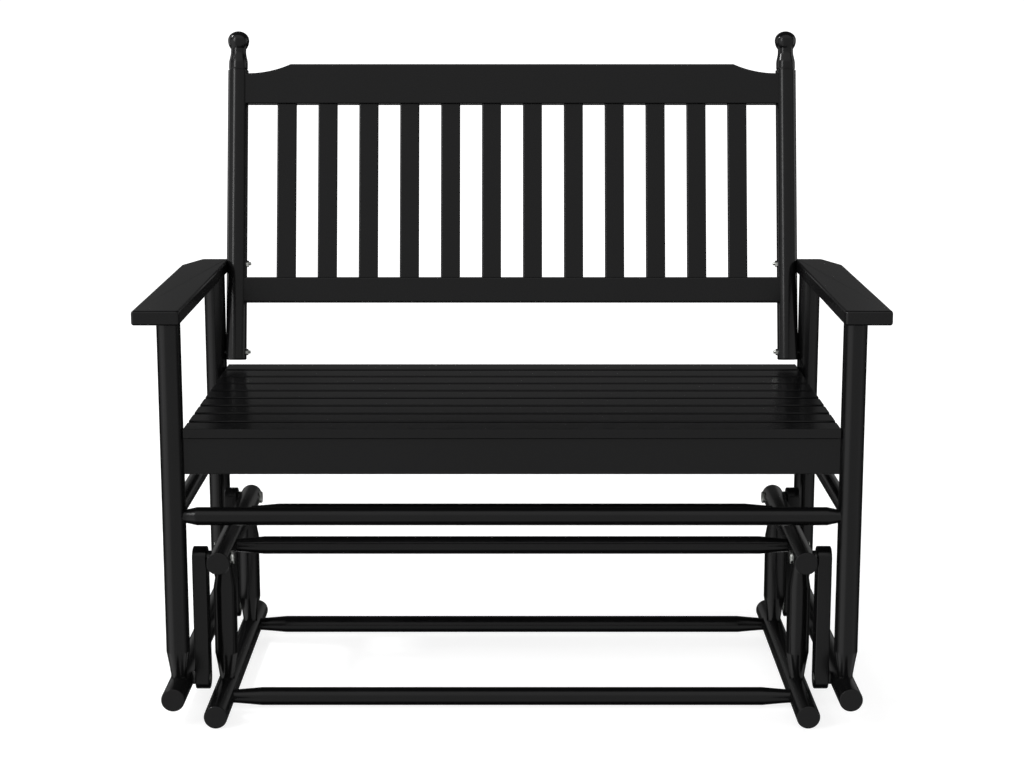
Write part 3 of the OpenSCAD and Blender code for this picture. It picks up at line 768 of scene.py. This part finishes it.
def postPlace(side):
    return mirrorFor(side) @ onBack @ Matrix.Translation((postX, 0, 0))


def makePost(side):
    bm = move(turned(postProfile(), segments=96, hold=back["postHold"]), postPlace(side))
    cutters = []
    for level in backFrame["studs"]:
        at = studPoint(level)
        cutters.append(drill(nutFlat, mirrorFor(side) @ facingX(nutSeatX, at.y, at.z, -1)))
    finishNode(f"back_post_{side}", bm, paintAlong[2], "seat_frame", cutters)


def leaningBoard(node, low, high, longAxis):
    bm = move(block(Vector(low), Vector(high), back["edge"], longAxis), onBack)
    finishNode(node, bm, paintAlong[longAxis], "seat_frame", flats=True)


def makeLowRail():
    halfThickness, low = back["railThickness"] / 2, back["lowRailAt"]
    leaningBoard("lower_back_rail", (-railHalf, -halfThickness, low),
                 (railHalf, halfThickness, low + back["lowRailHeight"]), 0)


def makeCrest():  # its upper edge falls to each end in a hollow curve
    turn = math.acos(1 - (back["crestHeight"] - back["crestEnd"]) / back["crestCurve"])
    top = []
    for t in fractions(16):
        a = -math.pi / 2 - turn * (1 - t)
        top.append((railHalf - back["tenon"] + back["crestCurve"] * math.cos(a),
                    back["crestEnd"] + back["crestCurve"] * (1 + math.sin(a))))
    top.append((railHalf, back["crestEnd"]))
    outline = top + [(railHalf, 0), (-railHalf, 0)] + [(-x, z) for x, z in reversed(top)]
    bm = bmesh.new()
    bm.faces.new([bm.verts.new((x, -back["railThickness"] / 2, z + back["crestAt"])) for x, z in outline])
    extrude(bm, (0, back["railThickness"], 0))
    softenRims(bm, 1, back["edge"])
    finishNode("crest_rail", move(bm, onBack), paintAlong[0], "seat_frame", flats=True)


def makeBackSlat(node):
    low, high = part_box(node)
    halfThickness = back["slatThickness"] / 2
    bottom, top = back["lowRailAt"] + back["lowRailHeight"] - back["tenon"], back["crestAt"] + back["tenon"]
    leaningBoard(node, (low.x, -halfThickness, bottom), (high.x, halfThickness, top), 2)


for side in sides:
    makePost(side)
makeLowRail()
makeCrest()
slatCount = sum(node.startswith("back_slat_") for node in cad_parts)
for number in range(1, slatCount + 1):
    makeBackSlat(f"back_slat_{number}")
print("back made")


# Armrests

arms = {
    "edge": 0.004,
    "cutLength": 0.070,
    "cutWidth": 0.025,
    "corners": (0.007, 0.004, 0.012, 0.008, 0.003),  # radii from the inner front corner round the outside
    "postSpace": 0.0001,  # round the post, in its notch
    "postCut": 0.5,  # the notch cutter's length
}


def makeArmrest(side):
    low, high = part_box("armrest_right")
    points = [(low.x, low.y), (high.x, low.y), (high.x, high.y - arms["cutLength"]),
              (high.x - arms["cutWidth"], high.y), (low.x, high.y)]
    bm = bmesh.new()
    bm.faces.new([bm.verts.new((x, y, low.z)) for x, y in points])
    thickness = high.z - low.z
    extrude(bm, (0, 0, thickness))
    bmesh.ops.recalc_face_normals(bm, faces=bm.faces)
    for point, radius in zip(points, arms["corners"]):
        corner = [e for e in bm.edges if reach(e, 2) > thickness / 2
                  and (e.verts[0].co.xy - Vector(point)).length < finish["near"]]
        soften(bm, corner, radius * math.tan(corner[0].calc_face_angle() / 2), segments=6)
    softenRims(bm, 2, arms["edge"])
    post = drill(postRadius + arms["postSpace"], postPlace(side), arms["postCut"])
    finishNode(f"armrest_{side}", move(bm, mirrorFor(side)), paintAlong[1], "seat_frame", [post], flats=True)


for side in sides:
    makeArmrest(side)
print("armrests made")


# Floor, lights and camera

studio = {
    "front": 0.85,  # the lit half behind the camera, as rough surfaces get it; shiny ones see it white
    "back": 0.085,  # the half behind the bench
    "backLow": 0.035,  # just under its horizon
    "backSides": 0.16,  # added 12 to 20 degrees beside its middle, where the rails' inner sides mirror it
    "below": 0.95,  # low in the back half, which only the leaning back's rear reflects
    "above": 1.5,  # high in front, which the boards' rounded front edges reflect
    "footTurn": 66,  # degrees left of the camera's side to the key light's dimmer and wider lower end
    "keyFoot": 1.0,
    "rightSide": 0.45,  # straight to the right, for the flats that face that way
}
zones = {  # what each goes by, from where to where it changes, and from which value to which
    "ahead": ("Y", -0.12, -0.28, 0, 1),
    "offFloor": ("Z", -0.70, -0.58, 0, 1),
    "sunk": ("Z", -0.42, -0.56, 0, 1),
    "offDeep": ("Z", -0.88, -0.72, 0, 1),
    "lower": ("Z", -0.02, -0.1, studio["back"], studio["backLow"]),
    "beyond": ("across", 0.17, 0.23, 0, studio["backSides"]),
    "flatter": ("Z", -0.14, -0.06, 0, 1),
    "notHigh": ("Z", 0.3, 0.16, 0, 1),
    "lifted": ("Z", 0.42, 0.6, 1, studio["above"]),
    "keyStripe": ("towardsKey", 0.72, 0.95, 0, studio["keyFoot"]),
    "rightStripe": ("towardsRight", 0.972, 0.994, 0, studio["rightSide"]),
    "stripeTop": ("Z", 0.25, 0.1, 0, 1),
}
blends = {  # how they are put together
    "ring": ("MULTIPLY", "sunk", "offDeep"),
    "sideBand": ("MULTIPLY", "beyond", "flatter"),
    "sideLight": ("MULTIPLY", "sideBand", "notHigh"),
    "facing": ("MULTIPLY", "ahead", "offFloor"),
    "stripes": ("ADD", "keyStripe", "rightStripe"),
    "stripeFeet": ("MULTIPLY", "stripes", "stripeTop"),
    "stripesShown": ("MULTIPLY", "stripeFeet", "offFloor"),
}


# The studio: white in front, dark above and behind, so that rounded tops stay black as in the photograph
def makeWorld():
    world = bpy.data.worlds.new("studioWorld")
    bpy.context.scene.world = world
    world.use_nodes = True
    tree = world.node_tree
    tree.nodes.clear()
    place = addNode(tree, "ShaderNodeTexCoord")
    way = addNode(tree, "ShaderNodeSeparateXYZ", links={"Vector": (place, "Generated")})
    across = addNode(tree, "ShaderNodeMath", links={0: (way, "X")}, operation="ABSOLUTE")
    flat = addNode(tree, "ShaderNodeVectorMath", {1: (1, 1, 0)}, {0: (place, "Generated")},
                   operation="MULTIPLY")
    level = addNode(tree, "ShaderNodeVectorMath", links={0: (flat, "Vector")}, operation="NORMALIZE")
    turn = math.radians(studio["footTurn"])
    key = addNode(tree, "ShaderNodeVectorMath", {1: (-math.sin(turn), -math.cos(turn), 0)},
                  {0: (level, "Vector")}, operation="DOT_PRODUCT")
    right = addNode(tree, "ShaderNodeSeparateXYZ", links={"Vector": (level, "Vector")})
    sources = {"X": (way, "X"), "Y": (way, "Y"), "Z": (way, "Z"), "across": (across, "Value"),
               "towardsKey": (key, "Value"), "towardsRight": (right, "X")}
    parts = {}
    for name, (source, start, stop, before, after) in zones.items():
        values = {"From Min": start, "From Max": stop, "To Min": before, "To Max": after}
        parts[name] = addNode(tree, "ShaderNodeMapRange", values, {"Value": sources[source]},
                              interpolation_type="SMOOTHSTEP")
    for name, (operation, first, second) in blends.items():
        parts[name] = addNode(tree, "ShaderNodeMath", links={0: (parts[first], 0), 1: (parts[second], 0)},
                              operation=operation)
    under = addNode(tree, "ShaderNodeMapRange", {"To Max": studio["below"]},
                    {"Value": (parts["ring"], 0), "To Min": (parts["lower"], 0)})
    behind = addNode(tree, "ShaderNodeMath", links={0: (under, 0), 1: (parts["sideLight"], 0)},
                     operation="ADD")
    rays = addNode(tree, "ShaderNodeLightPath")
    front = addNode(tree, "ShaderNodeMapRange", {"To Min": studio["front"]},
                    {"Value": (rays, "Is Glossy Ray"), "To Max": (parts["lifted"], 0)})
    around = addNode(tree, "ShaderNodeMix",
                     links={"Factor": (parts["facing"], 0), "A": (behind, 0), "B": (front, 0)})
    total = addNode(tree, "ShaderNodeMath", links={0: (around, 0), 1: (parts["stripesShown"], 0)},
                    operation="ADD")
    seen = addNode(tree, "ShaderNodeMath",
                   links={0: (rays, "Is Camera Ray"), 1: (rays, "Is Transmission Ray")}, operation="MAXIMUM")
    dim = addNode(tree, "ShaderNodeBackground", {"Color": (1, 1, 1, 1)}, {"Strength": (total, 0)})
    white = addNode(tree, "ShaderNodeBackground", {"Color": (1, 1, 1, 1), "Strength": 1.0})
    both = addNode(tree, "ShaderNodeMixShader", links={0: (seen, 0), 1: (dim, 0), 2: (white, 0)})
    addNode(tree, "ShaderNodeOutputWorld", links={"Surface": (both, 0)})


paper = {
    "radius": 60,
    "drop": 0.0005,  # how far it lies below the runners
    "grey": 0.5,  # how pale it is to the light that reaches the bench
    "white": 1.27,  # above 1, so that its mix with the dimly lit paper is still white
    "shadow": 0.35,  # how much of the shadow shows
    "shadowRim": (1.1, 2.2),  # metres from the middle, from where and to where it fades out
}


# White background paper: even and matt, with a soft shadow near the bench
def makeFloor():
    bm = bmesh.new()
    bmesh.ops.create_circle(bm, cap_ends=True, radius=paper["radius"], segments=96,
                            matrix=Matrix.Translation((0, 0, -paper["drop"])))
    material, tree = newMaterial("palePaperFloor")
    place = addNode(tree, "ShaderNodeTexCoord")
    away = addNode(tree, "ShaderNodeVectorMath", links={0: (place, "Object")}, operation="LENGTH")
    fadeFrom, fadeTo = paper["shadowRim"]
    near = addNode(tree, "ShaderNodeMapRange", {"From Min": fadeFrom, "From Max": fadeTo,
                                                "To Min": paper["shadow"], "To Max": 0.0},
                   {"Value": (away, "Value")}, interpolation_type="SMOOTHSTEP")
    rays = addNode(tree, "ShaderNodeLightPath")
    seen = addNode(tree, "ShaderNodeMath",
                   links={0: (rays, "Is Camera Ray"), 1: (rays, "Is Transmission Ray")}, operation="MAXIMUM")
    grey = addNode(tree, "ShaderNodeBsdfDiffuse", {"Color": (paper["grey"],) * 3 + (1,)})
    lit = addNode(tree, "ShaderNodeBsdfDiffuse", {"Color": (1, 1, 1, 1)})
    white = addNode(tree, "ShaderNodeEmission", {"Color": (1, 1, 1, 1), "Strength": paper["white"]})
    shown = addNode(tree, "ShaderNodeMixShader", links={0: (near, "Result"), 1: (white, 0), 2: (lit, 0)})
    clear = addNode(tree, "ShaderNodeBsdfTransparent")
    dull = addNode(tree, "ShaderNodeMixShader",
                   links={0: (rays, "Is Glossy Ray"), 1: (grey, 0), 2: (clear, 0)})
    both = addNode(tree, "ShaderNodeMixShader", links={0: (seen, 0), 1: (dull, 0), 2: (shown, 0)})
    addNode(tree, "ShaderNodeOutputMaterial", links={"Surface": (both, 0)})
    mesh = asMesh(bm, "floor")
    mesh.materials.append(material)
    floor = bpy.data.objects.new("floor", mesh)
    bpy.context.scene.collection.objects.link(floor)


rearPanel = {"distance": 3.0, "height": 1.3, "width": 0.9, "tall": 2.0, "watts": 9.0}
panels = [
    {"name": "keyPanel", "turn": 51, "distance": 3.2, "height": 2.3, "width": 0.75, "tall": 2.0,
     "watts": 52.0},
    {"name": "sparkPanel", "turn": 98, "distance": 2.2, "height": 2.5, "width": 0.34, "tall": 0.34,
     "watts": 45.0, "aimed": 0.9},  # small, for the balls and the rims that face it
    {"name": "rearLeftPanel", "turn": 118, **rearPanel},
    {"name": "rearRightPanel", "turn": -108, **rearPanel},
    {"name": "rearFill", "turn": 180, "distance": 4.0, "height": 1.2, "width": 3.0, "tall": 2.0,
     "watts": 165.0, "mirrored": False},  # lights the back's rear without a reflection in the polished sides
]


# An upright panel light; the turn is in degrees to the left of the camera's side
def makePanel(name, turn, distance, height, width, tall, watts, aimed=None, mirrored=True):
    a = math.radians(turn)
    place = Vector((-distance * math.sin(a), -distance * math.cos(a), height))
    light = bpy.data.lights.new(name, "AREA")
    light.shape, light.size, light.size_y, light.energy = "RECTANGLE", width, tall, watts
    panel = bpy.data.objects.new(name, light)
    panel.location = place
    panel.rotation_euler = (Vector((0, 0, aimed or height)) - place).to_track_quat("-Z", "Y").to_euler()
    panel.visible_glossy = mirrored
    bpy.context.scene.collection.objects.link(panel)


camera = {
    "place": (0.0, -3.1811, 1.1480),
    "pitch": 10.03,  # degrees below level
    "lens": 69.42,
    "sensor": 36.0,
    "shift": -0.07,  # part of what makes the photograph's uprights parallel
}


def makeCamera():
    data = bpy.data.cameras.new("camera")
    data.lens, data.sensor_width, data.shift_y = camera["lens"], camera["sensor"], camera["shift"]
    eye = bpy.data.objects.new("camera", data)
    eye.location = camera["place"]
    eye.rotation_euler = (math.radians(90 - camera["pitch"]), 0, 0)
    bpy.context.scene.collection.objects.link(eye)
    bpy.context.scene.camera = eye


makeFloor()
makeWorld()
for panel in panels:
    makePanel(**panel)
makeCamera()
bpy.context.scene.view_settings.view_transform = "Standard"
print("studio made")
